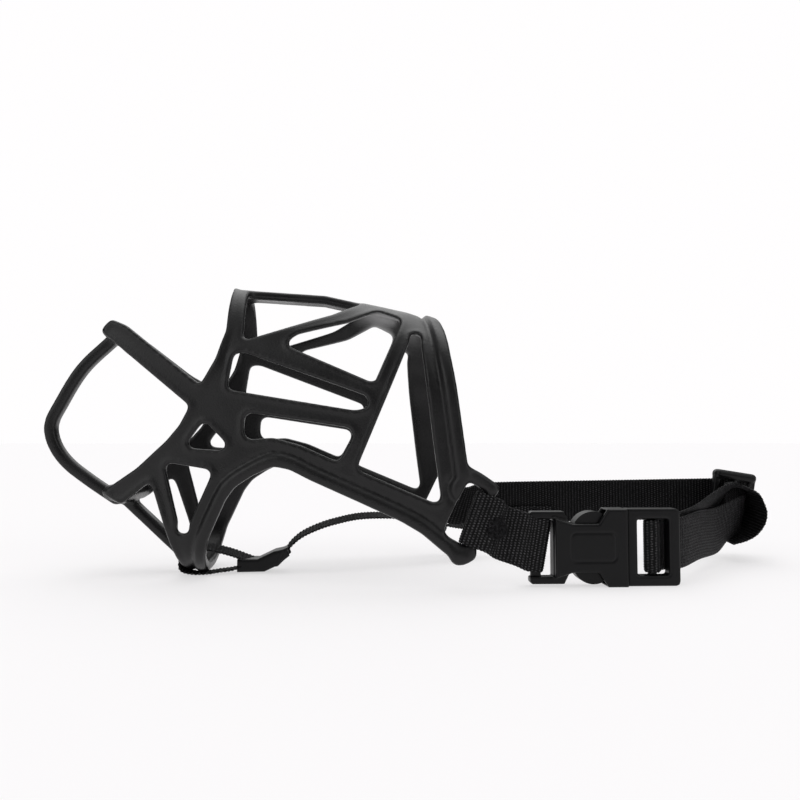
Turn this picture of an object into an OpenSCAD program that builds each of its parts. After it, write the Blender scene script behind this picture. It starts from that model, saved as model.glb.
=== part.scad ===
// Basket muzzle with a strap system: a soft rubber basket for a dog's snout, a neck strap that closes
// with a side-release buckle, and a narrow chin strap. It lies on its toe bar and its buckle, nose at -X,
// and the origin is the middle of its footprint on the floor.

/* [Basket] */
// Half-width of the basket at its front cross bars
front_half_w = 24; // [20:1:28]
// Half-width of the basket at its rear band
rear_half_w = 56; // [52:1:58]
// Thickness of the rubber wall
wall = 4.6; // [4:0.2:6]
// Half-width of the strip along the top of the snout
strip_half_w = 7; // [5:1:9]
// Roundness of the window corners
corner_r = 2.5; // [1.5:0.5:3]
// Width of the front bow
bow_w = 8; // [6:1:12]
// Thickness of the front bow
bow_t = 6.2; // [5:0.2:8]

/* [Webbing] */
// Width of the neck strap's webbing
webbing_w = 25; // [22:0.5:25]
// Thickness of the neck strap's webbing
webbing_t = 1.6; // [1.2:0.1:1.8]
// Width of the chin strap's webbing
chin_w = 10; // [8:1:11]
// Thickness of the chin strap's webbing
chin_t = 1.5; // [1.2:0.1:1.6]

/* [Buckle] */
// Thickness of the buckle's body
buckle_t = 12; // [11:0.5:13]
// Thickness of the plug's strap frame
plug_frame_t = 7; // [6.5:0.5:8]
// Radius of the bars that the webbing wraps
bar_r = 2; // [1.6:0.1:2.2]

/* [Hidden] */

RUBBER = "#1d1d1f";
NYLON = "#161618";
PLASTIC = "#222224";
THREAD = "#101012";
AXIS_Y = [0, 1, 0];

// ---- small helpers -------------------------------------------------------------------------------

function unit(v) = v / norm(v);

// A smooth path through frames [centre, half-width vector], with k steps between each two
function blend4(a, b, c, d, t) = 0.5 * (2 * b + (c - a) * t + (2 * a - 5 * b + 4 * c - d) * t * t
    + (3 * b - a - 3 * c + d) * t * t * t);
function smooth(f, k) = let (n = len(f)) concat([
    for (i = [0 : n - 2], j = [0 : k - 1]) let (a = f[max(i - 1, 0)], d = f[min(i + 2, n - 1)], t = j / k)
        [blend4(a[0], f[i][0], f[i + 1][0], d[0], t), blend4(a[1], f[i][1], f[i + 1][1], d[1], t)]
], [f[n - 1]]);

// Frames of a strap that wraps a bar: from angle a0 to a1 about the bar's own axis
function wrap(centre, axis, r, a0, a1, half_w, steps = 8) = let (across = unit(cross(AXIS_Y, axis))) [
    for (i = [0 : steps]) let (a = a0 + (a1 - a0) * i / steps)
        [centre + r * (cos(a) * across + sin(a) * AXIS_Y), half_w * axis]
];

// A strap of thickness t through frames [centre, half-width vector]; a closed one meets its own start
module ribbon(f, t, closed = false) {
    n = len(f);
    points = [for (i = [0 : n - 1]) let (
        before = f[closed ? (i + n - 1) % n : max(i - 1, 0)][0],
        after = f[closed ? (i + 1) % n : min(i + 1, n - 1)][0],
        side = unit(cross(after - before, f[i][1])) * t / 2
    ) each [f[i][0] + f[i][1] + side, f[i][0] + f[i][1] - side,
            f[i][0] - f[i][1] - side, f[i][0] - f[i][1] + side]];
    walls = [for (i = [0 : n - (closed ? 1 : 2)], j = [0 : 3]) let (
        a = 4 * i + j, b = 4 * i + (j + 1) % 4, c = (4 * i + 4 + (j + 1) % 4) % (4 * n), d = (4 * i + 4 + j) % (4 * n)
    ) each [[a, b, c], [a, c, d]]];
    ends = closed ? [] : [[3, 2, 1, 0], [4 * n - 4, 4 * n - 3, 4 * n - 2, 4 * n - 1]];
    polyhedron(points, concat(walls, ends), convexity = 6);
}

// ---- basket: one rubber moulding -----------------------------------------------------------------

BASKET_FRONT_X = -175;
BASKET_REAR_X = 10;
ARCH_Z = 85;            // height above which the walls curve in over the snout
SIDE_POWER = 2.4;       // squareness of the basket's section
CHIN_Z = 30;            // height below which the toe's walls curve in
TOE_Z = 2.2;            // underside of the toe bar

function half_w_at(x) = front_half_w + (rear_half_w - front_half_w)
    * pow(min(max((x - BASKET_FRONT_X) / (BASKET_REAR_X - BASKET_FRONT_X), 0), 1.1), 0.7);
function top_z_at(x) = lookup(x, [[-175, 300], [-119, 230], [-112, 175], [-107, 148.5], [-59, 145.5],
    [-29, 139], [-16, 136], [-3, 131.5], [12, 127]]);
function bottom_z_at(x) = lookup(x, [[-110, TOE_Z], [-101, -60]]);

// One section across the basket, inset by the given amount, as points round from +Y over the top
function basket_section(x, inset) = let (w = half_w_at(x) - inset, up = top_z_at(x) - inset - ARCH_Z,
        down = CHIN_Z - bottom_z_at(x) - inset, e = 2 / SIDE_POWER, n = 14) concat(
    [for (i = [0 : n]) let (a = 180 * i / n)
        [x, sign(cos(a)) * w * pow(abs(cos(a)), e), ARCH_Z + up * pow(sin(a), e)]],
    [for (i = [0 : n]) let (a = 180 - 180 * i / n)
        [x, sign(cos(a)) * w * pow(abs(cos(a)), e), CHIN_Z - down * pow(sin(a), e)]]);

// A closed loft through the basket's sections
module basket_form(inset, reach) {
    xs = concat([BASKET_FRONT_X - reach], [-160.6, -147.3, -138.4, -121.3, -113.3, -107.3, -100.4, -90.3,
        -76.4, -60.3, -45.3, -30.4, -17.6, -4.4], [BASKET_REAR_X + 4 + reach]);
    rings = [for (x = xs) basket_section(x, inset)];
    m = len(rings[0]);
    walls = [for (i = [0 : len(xs) - 2], j = [0 : m - 1]) let (k = (j + 1) % m)
        each [[i * m + j, (i + 1) * m + k, i * m + k], [i * m + j, (i + 1) * m + j, (i + 1) * m + k]]];
    ends = [[for (j = [0 : m - 1]) j], [for (j = [m - 1 : -1 : 0]) (len(xs) - 1) * m + j]];
    polyhedron([for (r = rings) each r], concat(walls, ends), convexity = 10);
}

// Side view of the basket, x along and z up: its outline, and the windows in each side
BASKET_OUTLINE = [[-170, 124], [-165, 129], [-158, 126], [-119.5, 96], [-112, 109], [-107.5, 123],
    [-106.5, 155], [-2, 155], [-1, 133], [1, 119], [2, 108], [4, 94], [8.5, 60], [9.5, 50], [7, 46], [0, 32],
    [-2.5, 24], [-1, 20], [9, 18], [11, 15], [8, 11.5], [5, 11], [-3, 17], [-12.5, 25], [-22, 30.5],
    [-41, 39], [-65, 49.5], [-75, 54.5], [-83, 56], [-93, 51.5], [-101.5, 46], [-106, 40], [-115, 20],
    [-117, 11], [-118, 0], [-132, 0], [-132.5, 12], [-134, 19], [-143, 44.5], [-145, 48], [-159.5, 36.5],
    [-170.5, 42.5], [-151.5, 55], [-136.5, 68.5], [-130, 76], [-124.8, 85.5], [-165.5, 118.5]];
WINDOWS = [
    [[-78.5, 115.5], [-72, 120.5], [-47, 126.5], [-32, 133.5], [-20, 128.5], [-34, 96.5], [-36, 96.5]],
    [[-103, 111.5], [-97.5, 111.5], [-37.5, 89.5], [-37.5, 84], [-44, 83], [-106, 93.5]],
    [[-97, 80], [-95, 82], [-46, 74.5], [-44.5, 71], [-51, 59], [-53, 59], [-70, 66.5], [-83, 70], [-95, 69],
        [-97.5, 72]],
    [[-15.5, 120.5], [-12.5, 120.5], [-10, 94], [-6, 60], [-3, 38], [-42, 54.5], [-42, 57]],
    [[-117.5, 78.5], [-102.5, 63.5], [-127.5, 65]],
    [[-137.5, 58], [-112.5, 54], [-126.5, 23], [-128.5, 23]]];
FRONT_TOP_WINDOW = [[-98.5, 150], [-98.5, 118], [-96, 118.5], [-55, 131], [-41, 138], [-41, 150]];

module rounded(points, r) {
    offset(r, $fn = 20) offset(-r) polygon(points);
}

module side_pattern() {
    difference() {
        offset(-1.2, $fn = 16) offset(1.2) rounded(BASKET_OUTLINE, 1.2);
        for (w = WINDOWS) rounded(w, corner_r);
    }
}

// Extrudes a side view across the basket, from y0 to y1
module across(y0, y1) {
    translate([0, y1, 0]) rotate([90, 0, 0]) linear_extrude(y1 - y0) children();
}

BOW = [[-171, 122, 0], [-187, 106, 0], [-198, 87.5, 0], [-202.6, 77, 0], [-200.9, 67, 0], [-194, 57, 0],
    [-182, 47.5, 0], [-168, 38, 0]];

module basket_shell() {
    intersection() {
        difference() {
            basket_form(0, 0);
            basket_form(wall, 1);
        }
        union() {
            difference() {
                across(-80, 80) side_pattern();
                across(-80, 80) rounded(FRONT_TOP_WINDOW, corner_r);
            }
            across(-strip_half_w, strip_half_w) polygon([[-106, 150], [-106, 120], [-8, 110], [-8, 150]]);
        }
    }
}

// A bar with rounded ends through points in the side view, from y0 to y1 across the basket
module side_bar(points, r, y0, y1) {
    hair = 0.01;
    n = len(points);
    there = [for (p = points) [p[0], p[1]]];
    back = [for (i = [n - 1 : -1 : 0]) [points[i][0] + hair, points[i][1] + hair / 3]];
    across(y0, y1) offset(r, $fn = 20) polygon(concat(there, back));
}

// A round bar between two points
module round_bar(a, b, r) {
    d = b - a;
    translate(a) rotate([0, acos(d[2] / norm(d)), atan2(d[1], d[0])]) cylinder(h = norm(d), r = r, $fn = 32);
}

// Rear loop that the webbing passes through; the same on both sides
STRAP_LOOP_Y = 54;
STRAP_BAR = [[20.5, 46], [9.5, 16]];
STRAP_BAR_R = 2.5;

module strap_loop() {
    y0 = STRAP_LOOP_Y - 2.5;
    y1 = STRAP_LOOP_Y + 2.5;
    side_bar([[7.5, 54], [14, 50.5], STRAP_BAR[0]], 3.2, y0, y1);
    side_bar([STRAP_BAR[1], [4, 14.2]], 3.2, y0, y1);
    round_bar([STRAP_BAR[1][0], STRAP_LOOP_Y, STRAP_BAR[1][1]], [STRAP_BAR[0][0], STRAP_LOOP_Y, STRAP_BAR[0][1]],
        STRAP_BAR_R);
}

module basket() {
    color(RUBBER) union() {
        basket_shell();
        side_bar([[-166.5, 123.8], [-162.5, 120.5]], 4.5, -half_w_at(-166) + 2, half_w_at(-166) - 2);
        side_bar([[-166.5, 42], [-160, 40.5]], 3.8, -half_w_at(-164) + 2, half_w_at(-164) - 2);
        side_bar(BOW, bow_t / 2, -bow_w / 2, bow_w / 2);
        side_bar([[-163, 38], [-130, 7]], 2.8, -5, 5);
        for (s = [0, 1]) mirror([0, s, 0]) strap_loop();
    }
}

// ---- straps at the rear loops ----------------------------------------------------------------------

UP = [0, 0, 1];
FAR_Y = 51.6;           // middle of the neck strap's long run

HALF_W = webbing_w / 2;
STRAP_AXIS = unit([STRAP_BAR[0][0] - STRAP_BAR[1][0], 0, STRAP_BAR[0][1] - STRAP_BAR[1][1]]);
STRAP_BAR_MID = [(STRAP_BAR[0][0] + STRAP_BAR[1][0]) / 2, 0, (STRAP_BAR[0][1] + STRAP_BAR[1][1]) / 2];
STRAP_WRAP_R = STRAP_BAR_R + 0.4 + webbing_t / 2;
STRAP_ACROSS = cross(AXIS_Y, STRAP_AXIS);
BUCKLE_Y = -49;
BUCKLE_Z = 18.2;
SOCKET_BAR_X = 41.5;
BAR_WRAP_R = bar_r + 0.4 + webbing_t / 2;

// Frames of the long eye that a strap makes round a basket loop's bar, with room to swing in it
function eye(bar) = let (half_w = HALF_W - 1.1, out = [0, STRAP_WRAP_R, 0]) concat(
    [[bar + 6 * STRAP_ACROSS + out, half_w * STRAP_AXIS]],
    wrap(bar - 4 * STRAP_ACROSS, STRAP_AXIS, STRAP_WRAP_R, 90, 270, half_w),
    [[bar + 6 * STRAP_ACROSS - out, half_w * STRAP_AXIS]]);
function backwards(f) = [for (i = [len(f) - 1 : -1 : 0]) f[i]];

// Middle of the stretch where the buckle strap's two layers are sewn together
SEWN = [29, -53, 24.2];

// Short doubled strap between the near strap loop and the socket
module buckle_strap() {
    finish = [SOCKET_BAR_X + 1.6, BUCKLE_Y, BUCKLE_Z + 0.4];
    lean = unit([0.1, 0, 1]);
    gap = [0, webbing_t / 2 + 0.05, 0];
    mid_half = (HALF_W - 0.8) * unit([0.24, 0, 1]);
    step = [4.5, 0, -1.6];
    slot = [39, BUCKLE_Y, BUCKLE_Z + 0.7];
    slot_gap = [0, BAR_WRAP_R, 0];
    slot_half = (HALF_W - 0.9) * lean;
    frames = concat(eye(STRAP_BAR_MID - [0, STRAP_LOOP_Y, 0]),
        [[SEWN - step - gap, mid_half], [SEWN + step - gap, mid_half], [slot - slot_gap, slot_half]],
        wrap(finish, lean, BAR_WRAP_R, -90, 90, HALF_W - 0.6),
        [[slot + slot_gap, slot_half], [SEWN + step + gap, mid_half], [SEWN - step + gap, mid_half]]);
    color(NYLON) ribbon(frames, webbing_t, closed = true);
}

// Round patch of stitches on the near face of the buckle strap
module buckle_strap_stitching() {
    color(THREAD) translate(SEWN - [0.4, webbing_t + 0.35, 0]) rotate([90, 0, 0])
        cylinder(h = 0.5, r = 4, center = true, $fn = 40);
}

module neck_strap_far() {
    gap = [0, webbing_t + 0.1, 0];
    leaning = (HALF_W - 0.6) * unit([0.1, 0, 1]);
    upright = (HALF_W - 0.2) * UP;
    frames = concat([[[38, FAR_Y, 31] - gap, upright], [[30, FAR_Y, 30.4] - gap, leaning]],
        backwards(eye(STRAP_BAR_MID + [0, STRAP_LOOP_Y, 0])),
        [[[30, FAR_Y, 30.4], leaning], [[44, FAR_Y, 31.2], upright], [[110, FAR_Y, 32.2], upright],
        [[202.8, FAR_Y, 33.6], upright]]);
    color(NYLON) ribbon(frames, webbing_t);
}
module neck_strap_stitching() {
    color(THREAD) translate([34, FAR_Y - 1.5 * webbing_t - 0.4, 31]) cube([7, 0.5, 16], center = true);
}

// ---- side-release buckle -------------------------------------------------------------------------

SEAM_X = 84.5;
PLUG_BAR_X = 97.8;
PRONG_ROOT = [82.5, 12];

// Places a side-view shape in the buckle, with thickness t
module buckle_plate(t, y = 0) {
    translate([0, BUCKLE_Y + y + t / 2, BUCKLE_Z]) rotate([90, 0, 0]) linear_extrude(t) children();
}

module both_halves() {
    children();
    mirror([0, 1]) children();
}

module buckle_socket() {
    color(PLASTIC) difference() {
        union() {
            buckle_plate(buckle_t) both_halves()
                polygon([[50, 0], [50, 14], [58.2, 11.4], [70.4, 11.4], [75, 18.2], [SEAM_X, 18.2], [SEAM_X, 0]]);
            buckle_plate(6) both_halves()
                polygon([[38.6, 0], [38.6, 16], [39.6, 17], [54.8, 17], [57.6, 11.4], [57.6, 0]]);
        }
        // strap window on both sides of the bar
        buckle_plate(8) translate([44, -13.4]) square([5.6, 26.8]);
        buckle_plate(8) translate([36, -13.4]) square([3.2, 26.8]);
        buckle_plate(20, 11.5) translate([38, -13.4]) square([6.5, 26.8]);
        buckle_plate(20, -11.5) translate([38, -13.4]) square([6.5, 26.8]);
        // mouth and prong windows
        buckle_plate(7.6) both_halves()
            polygon([[59, 0], [59, 12], [69.8, 12], [69.8, 17.3], [SEAM_X + 1, 17.3], [SEAM_X + 1, 0]]);
    }
}

module buckle_plug() {
    color(PLASTIC) {
        buckle_plate(plug_frame_t) difference() {
            union() {
                translate([SEAM_X + 0.3, -18.2]) square([20, 36.4]);
                hull() for (z = [-16.2, 16.2]) translate([108.2, z]) circle(2, $fn = 24);
                translate([104, -18.2]) square([4.2, 36.4]);
            }
            translate([89.8, -13.2]) square([15, 26.4]);
        }
        translate([PLUG_BAR_X, BUCKLE_Y + 0.4, BUCKLE_Z]) cylinder(h = 27, r = bar_r, center = true, $fn = 32);
        translate([64, BUCKLE_Y - 2, BUCKLE_Z - 3.5]) cube([SEAM_X - 63.5, 4, 7]);
    }
}

// Spring prong with its thumb pad; side is 1 for the upper one and -1 for the lower one
module prong(side) {
    color(PLASTIC) translate([0, BUCKLE_Y, BUCKLE_Z]) mirror([0, 0, side < 0 ? 1 : 0])
        translate([0, 3.5, 0]) rotate([90, 0, 0]) linear_extrude(7) {
            translate(PRONG_ROOT) circle(1.7, $fn = 24);
            translate([70, 10.3]) square([12.5, 3.4]);
            intersection() {
                translate([68.5, 6.8]) circle(10.2, $fn = 48);
                translate([59.4, 9]) square([13.4, 9]);
            }
        }
}

module upper_prong() {
    prong(1);
}

module lower_prong() {
    prong(-1);
}

// ---- neck strap from the plug to the slider ------------------------------------------------------

SLIDER_X = 183;
SLIDER_Y = 44.5;
SLIDER_Z = 32.5;

// Both layers of the strap between the plug's bar and the slider: nearer one, round the bar, further one
module neck_strap_lead() {
    bar = [PLUG_BAR_X, BUCKLE_Y + 0.4, BUCKLE_Z + 0.3];
    half = (HALF_W - 0.2) * UP;
    near = [[[168, 16, 23.5], HALF_W * unit([0, -0.1, 1])], [[154, 3, 21], half], [[134, -20, 19.6], half],
        [[118, -38.2, 19], half], [[110, -43, 18.6], half], [[104.6, -43.8, 18.6], half]];
    far = [[[107, -40.4, 18.8], half], [[116, -35, 19.8], half], [[134, -15, 22], HALF_W * unit([0, -0.15, 1])],
        [[152, 7, 26.5], HALF_W * unit([0, -0.35, 1])], [[164, 19, 30.5], HALF_W * unit([0, -0.6, 1])]];
    color(NYLON) ribbon(concat(smooth(near, 3), wrap(bar, UP, BAR_WRAP_R, -30, -290, HALF_W - 0.2, 10),
        smooth(far, 3)), webbing_t);
}

// The further layer goes on over the nearer one, round a loose loop and back behind the slider
module neck_strap_turn() {
    depth = HALF_W * unit([0, 1, 0.1]);
    frames = [[[169, 22.5, 33.5], HALF_W * unit([0, -0.8, 1])], [[175, 25.5, 39.2], HALF_W * unit([0, -1, 0.3])],
        [[182, 25.8, 39.6], -depth], [[188.5, 25.8, 34.5], -depth], [[191, 25.8, 26], -depth],
        [[189.5, 25.8, 18], -depth], [[185.5, 25.8, 12.6], -depth], [[181, 25.8, 10.8], -depth]];
    color(NYLON) ribbon(smooth(frames, 4), webbing_t);
}

// Sewn end of the strap, wrapped round the slider's centre bar
module neck_strap_end() {
    bar = [SLIDER_X, SLIDER_Y, SLIDER_Z - 1.5];
    half = (HALF_W - 0.4) * UP;
    color(NYLON) ribbon(concat([[[171, 40.6, SLIDER_Z - 1.8], half], [[176, 40.7, SLIDER_Z - 1.7], half]],
        wrap(bar, UP, BAR_WRAP_R, 215, -60, HALF_W - 0.4, 10)), webbing_t);
}

// Tri-glide slider: a frame with a centre bar
module strap_slider() {
    color(PLASTIC) translate([SLIDER_X, SLIDER_Y, SLIDER_Z]) {
        rotate([90, 0, 0]) linear_extrude(4, center = true) difference() {
            offset(2, $fn = 24) square([21, 32], center = true);
            square([19, 28], center = true);
        }
        cylinder(h = 30, r = bar_r, center = true, $fn = 32);
    }
}

// ---- chin strap ----------------------------------------------------------------------------------

CHIN_HALF = chin_w / 2;
CHIN_SLIDER = [-91.5, -2, 7];
CHIN_SLOPE = 12;        // rise of the strap through its slider, in degrees
CHIN_ALONG = [cos(CHIN_SLOPE), 0, sin(CHIN_SLOPE)];
CHIN_SPLIT = [-6, 22, 25];
CHIN_END_Y = FAR_Y - webbing_t / 2 - chin_t / 2 - 0.35;

// From the loop round the toe bar, through its slider, and up to the split near the rear loops
module chin_strap_front() {
    half = CHIN_HALF * AXIS_Y;
    loop = [[[-108, -4, 2.4], half], [[-113, -8.5, 1.6], half], [[-118, -11.5, 0.95], half],
        [[-130, -11.5, 0.95], half], [[-135.4, -11.5, 4.5], half], [[-133.4, -11.5, 10.4], half],
        [[-126, -11.5, 11.4], half], [[-116, -10.5, 10.8], half], [[-110.5, -5.5, 6], half]];
    straight = [[CHIN_SLIDER - 15 * CHIN_ALONG, half], [CHIN_SLIDER + 19 * CHIN_ALONG, half]];
    run = [[[-69.5, -1, 15.5], half], [[-64, 1, 21], half], [[-55, 4, 25], half], [[-40, 10, 27.6], half],
        [[-22, 17, 27.6], half], [CHIN_SPLIT, half]];
    color(NYLON) ribbon(concat(smooth(loop, 2), straight, smooth(run, 3)), chin_t);
}

module chin_strap_rear() {
    upright = CHIN_HALF * UP;
    frames = [[CHIN_SPLIT + [1.5, 0.9, -0.4], CHIN_HALF * AXIS_Y],
        [[10, 29, 22.5], CHIN_HALF * unit([0, 1, 0.5])],
        [[30, 40, 21.5], CHIN_HALF * unit([0, 0.4, 1])], [[48, 47.5, 23], upright],
        [[58, CHIN_END_Y, 24], upright], [[76, CHIN_END_Y, 24], upright]];
    color(NYLON) ribbon(smooth(frames, 4), chin_t);
}

module chin_strap_stitching() {
    color(THREAD) translate([67, CHIN_END_Y - chin_t / 2 - 0.25, 24]) cube([10, 0.4, 7], center = true);
}

// Sleeve slider on the chin strap
module chin_strap_slider() {
    color(PLASTIC) translate(CHIN_SLIDER) rotate([0, -CHIN_SLOPE, 0]) difference() {
        cube([27, chin_w + 5, 8], center = true);
        cube([30, chin_w + 1, 4.8], center = true);
    }
}

basket();
buckle_strap();
buckle_strap_stitching();
buckle_socket();
buckle_plug();
upper_prong();
lower_prong();
neck_strap_lead();
neck_strap_turn();
neck_strap_end();
neck_strap_far();
neck_strap_stitching();
strap_slider();
chin_strap_front();
chin_strap_rear();
chin_strap_stitching();
chin_strap_slider();
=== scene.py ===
"""Looks of the basket muzzle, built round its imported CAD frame: rubber basket, webbing straps, buckle and sliders."""
import math

import bpy
import numpy as np
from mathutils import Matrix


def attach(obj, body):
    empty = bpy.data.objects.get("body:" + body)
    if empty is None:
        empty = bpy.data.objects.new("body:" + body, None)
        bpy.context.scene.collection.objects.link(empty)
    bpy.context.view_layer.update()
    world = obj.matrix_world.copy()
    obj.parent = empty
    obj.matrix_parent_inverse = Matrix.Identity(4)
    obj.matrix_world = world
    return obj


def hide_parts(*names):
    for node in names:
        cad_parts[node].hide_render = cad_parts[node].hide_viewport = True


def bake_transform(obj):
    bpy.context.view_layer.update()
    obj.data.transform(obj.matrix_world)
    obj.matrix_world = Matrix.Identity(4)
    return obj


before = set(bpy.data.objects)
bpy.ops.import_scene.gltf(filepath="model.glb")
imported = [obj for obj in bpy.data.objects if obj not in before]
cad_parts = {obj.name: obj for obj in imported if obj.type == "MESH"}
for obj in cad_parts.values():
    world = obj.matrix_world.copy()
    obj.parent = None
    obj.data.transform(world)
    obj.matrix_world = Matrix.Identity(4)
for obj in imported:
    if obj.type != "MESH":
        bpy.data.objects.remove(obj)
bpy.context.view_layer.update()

import openvdb
from mathutils import Matrix, Vector

MM = 0.001

# ---- the part's dimensions, in millimetres -------------------------------------------------------------
# They follow part.scad, but the basket is narrower towards its front here, and its side outline differs
# by up to 5 mm at the toe, the hook and the ends of the front arms.

FRONT_HALF_W, REAR_HALF_W = 18.0, 56.0
WIDENING_POWER = 0.75       # below 1, the basket widens fastest near its front
BASKET_FRONT_X, BASKET_REAR_X = -175.0, 10.0
WALL = 4.6
STRIP_HALF_W = 7.0
WEAVE = "weave"             # point attribute: place along the strap, across it, and height of the weave
ARCH_Z, CHIN_Z, TOE_Z = 85.0, 30.0, 2.2
SIDE_POWER = 2.4
TOP_Z = ((-175, 300), (-119, 230), (-112, 175), (-107, 148.5), (-59, 145.5), (-29, 139), (-16, 136),
         (-3, 131.5), (12, 127))
OUTLINE = ((-173, 124), (-166.5, 130), (-158, 126.3), (-119.5, 96), (-112, 109), (-107.5, 123), (-106.5, 155),
           (-2, 155), (-1, 133), (1, 119), (2, 108), (4, 94), (8.5, 60), (9.5, 50), (7, 46), (0, 32),
           (-2.2, 27), (-0.5, 24), (6, 20.5), (10.5, 18.5), (11.5, 15), (8, 11.5), (5, 11), (-3, 17),
           (-12.5, 25), (-22, 30.5), (-41, 39), (-65, 49.5), (-75, 54.5), (-83, 56), (-93, 51.5),
           (-101.5, 46), (-106, 40), (-115, 20),
           (-117, 11), (-118, 0.4), (-126.5, 0.4), (-130.3, 6), (-134.6, 19), (-143, 44.5), (-145, 48),
           (-159.5, 36.5), (-170.5, 42.5), (-151.5, 55), (-136.5, 68.5), (-130, 76), (-124.8, 85.5),
           (-165.5, 118.5))
WINDOWS = (
    ((-78.5, 115.5), (-72, 120.5), (-47, 126.5), (-32, 133.5), (-20, 128.5), (-34, 96.5), (-36, 96.5)),
    ((-103, 111.5), (-97.5, 111.5), (-37.5, 89.5), (-37.5, 84), (-44, 83), (-106, 93.5)),
    ((-97, 80), (-95, 82), (-46, 74.5), (-44.5, 71), (-51, 59), (-53, 59), (-70, 66.5), (-83, 70),
     (-95, 69), (-97.5, 72)),
    ((-15.5, 120.5), (-12.5, 120.5), (-10, 94), (-6, 60), (-3, 38), (-42, 54.5), (-42, 57)),
    ((-117.5, 78.5), (-102.5, 63.5), (-127.5, 65)),
    ((-137.5, 58), (-112.5, 54), (-126.5, 23), (-128.5, 23)))
FRONT_TOP_WINDOW = ((-98.5, 150), (-98.5, 118), (-96, 118.5), (-55, 131), (-41, 138), (-41, 150))
TOP_STRIP = ((-106, 150), (-106, 120), (-8, 110), (-8, 150))
ARCH_EDGE = ((-118, 4), (-117, 11), (-115, 20), (-106, 40), (-101.5, 46), (-93, 51.5), (-83, 56), (-75, 54.5),
             (-65, 49.5), (-41, 39), (-22, 30.5), (-12.5, 25), (-3, 17), (5, 11))
REAR_EDGE = ((-2, 140), (-1, 133), (1, 119), (2, 108), (4, 94), (8.5, 60), (9.5, 50), (7, 46))
CORNER_R = 2.5
FAR_ARM_SAG = 3.5
FAR_ARM_FADE = ((118, 138), (4, 16), (84, 100))   # where the sag sets in, along -x, y and z
WINDOW_LIP, ARCH_BEAD, REAR_BEAD = 0.75, 1.5, 1.9  # heights above the rubber's face
ARCH_GROOVE, REAR_GROOVE = (7.0, 0.9, 0.7), (7.7, 1.0, 1.1)  # distance from the edge, width, depth
BASKET_FRONT_CUT, FRONT_CORNER_R = -173.0, 5.0
TWILL_PITCH = 1.5
BOW = ((-171, 122), (-187, 106), (-198, 87.5), (-202.6, 77), (-200.9, 67), (-194, 57), (-182, 47.5), (-168, 38))
BOW_W, BOW_T = 8.0, 6.2
FRONT_BARS = ((((-166.5, 123.8), (-162.5, 120.5)), 4.2), (((-166.5, 42.5), (-160, 40.5)), 3.8))
STRAP_LOOP_Y = 54.0
STRAP_BAR = ((20.5, 46.0), (9.5, 16.0))
STRAP_BAR_R = 2.5

WEBBING_W, WEBBING_T = 25.0, 1.6
CHIN_W, CHIN_T = 10.0, 1.5
FAR_Y = 51.6
BUCKLE_Y, BUCKLE_Z = -49.0, 18.2
SOCKET_BAR_X, PLUG_BAR_X, BAR_R = 41.5, 97.8, 2.0
SEAM_X = 84.5
SLIDER = (183.0, 44.5, 32.5)
CHIN_SLIDER = (-91.5, -2.0, 7.0)
CHIN_SPLIT = (-6.0, 22.0, 25.0)
SEWN = (29.0, -53.0, 24.2)

# ---- camera, light and floor ---------------------------------------------------------------------------

CAMERA_AT = (-47.4, -418.3, 69.3)
CAMERA_PAN, CAMERA_TILT = -0.0421, 0.0498      # radians, right and up
LENS, SENSOR_W, SHIFT_X = 35.17, 36.0, 0.025


def add_camera():
    data = bpy.data.cameras.new("camera")
    data.lens, data.sensor_width = LENS, SENSOR_W
    data.shift_x = SHIFT_X
    data.clip_start, data.clip_end = 0.01, 20.0
    camera = bpy.data.objects.new("camera", data)
    camera.location = Vector(CAMERA_AT) * MM
    camera.rotation_euler = (math.pi / 2 + CAMERA_TILT, 0, CAMERA_PAN)
    bpy.context.scene.collection.objects.link(camera)
    bpy.context.scene.camera = camera


def node_material(name):
    made = bpy.data.materials.new(name)
    made.use_nodes = True
    return made, made.node_tree, made.node_tree.nodes["Principled BSDF"]


FLOOR_COLOUR, FLOOR_GLOW_COLOUR, FLOOR_GLOW = (0.38, 0.372, 0.378, 1), (1, 0.99, 0.995, 1), 0.595
FLOOR_HALF_SIDE = 12.0      # metres


def add_stage():
    white, _, shader = node_material("floor_white")
    shader.inputs["Base Color"].default_value = FLOOR_COLOUR
    shader.inputs["Emission Color"].default_value = FLOOR_GLOW_COLOUR
    shader.inputs["Emission Strength"].default_value = FLOOR_GLOW
    shader.inputs["Roughness"].default_value = 1.0
    shader.inputs["Specular IOR Level"].default_value = 0.0
    mesh = bpy.data.meshes.new("floor")
    side = FLOOR_HALF_SIDE
    mesh.from_pydata([(-side, -side, 0), (side, -side, 0), (side, side, 0), (-side, side, 0)], [], [(0, 1, 2, 3)])
    floor = bpy.data.objects.new("floor", mesh)
    bpy.context.scene.collection.objects.link(floor)
    mesh.materials.append(white)
    bpy.context.scene.view_settings.view_transform = "Standard"
    bpy.context.scene.world = studio_world()


# Soft lights of the studio: direction, cosine of the outer edge, cosine of the inner edge, brightness
SOFTBOXES = (((0.1, 0.25, 1.0), 0.80, 0.97, 1.9),
             ((-1.0, -0.75, 0.45), 0.88, 0.985, 1.6),
             ((1.0, -0.7, 0.5), 0.88, 0.985, 1.2),
             ((-0.1, 1.0, 0.5), 0.86, 0.97, 0.9))
HORIZON_GLOW, ZENITH_GLOW = 0.02, 0.6


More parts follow.
